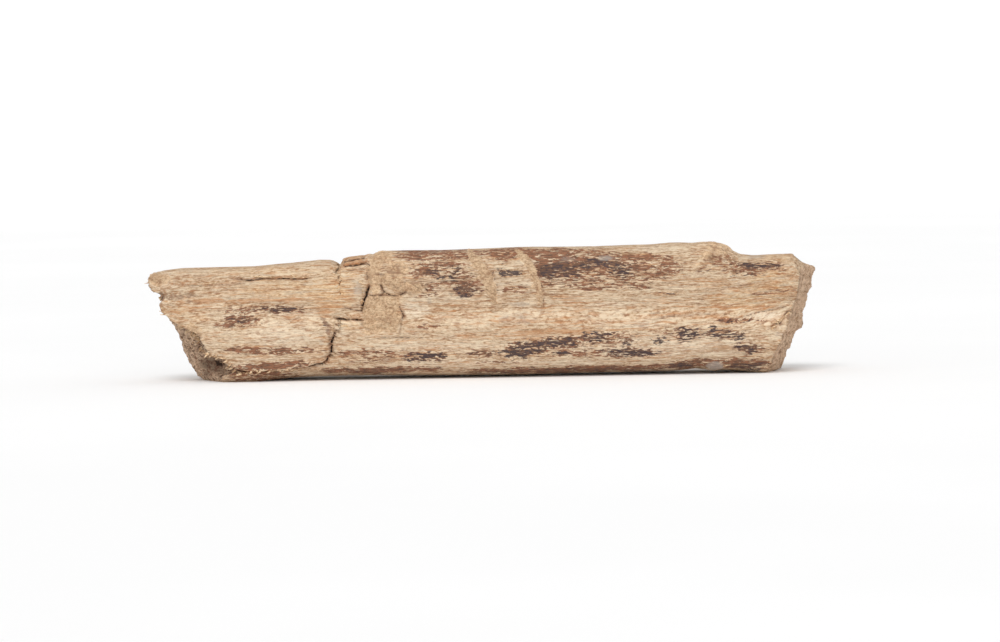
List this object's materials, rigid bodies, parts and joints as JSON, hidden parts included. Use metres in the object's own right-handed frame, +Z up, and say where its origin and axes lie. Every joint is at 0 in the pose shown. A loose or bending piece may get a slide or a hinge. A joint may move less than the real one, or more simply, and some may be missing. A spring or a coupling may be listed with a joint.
{
  "type": "weathered birch log",
  "caption": "Weathered, barkless length of birch log with aslant broken ends, long grain, dark decay stains and a cracked step near one end.",
  "frame": {"origin": "middle of the underside of the log's bounding box, on the surface it rests on", "axes": "+X along the log towards the end with the notched shoulder, +Z up as it lies, -Y towards its best face"},
  "size_m": [0.2398, 0.039, 0.047],
  "materials": {
    "weathered_wood": "dry weathered"
  },
  "bodies": {
    "root": {"log": "weathered_wood"}
  },
  "joints": []
}
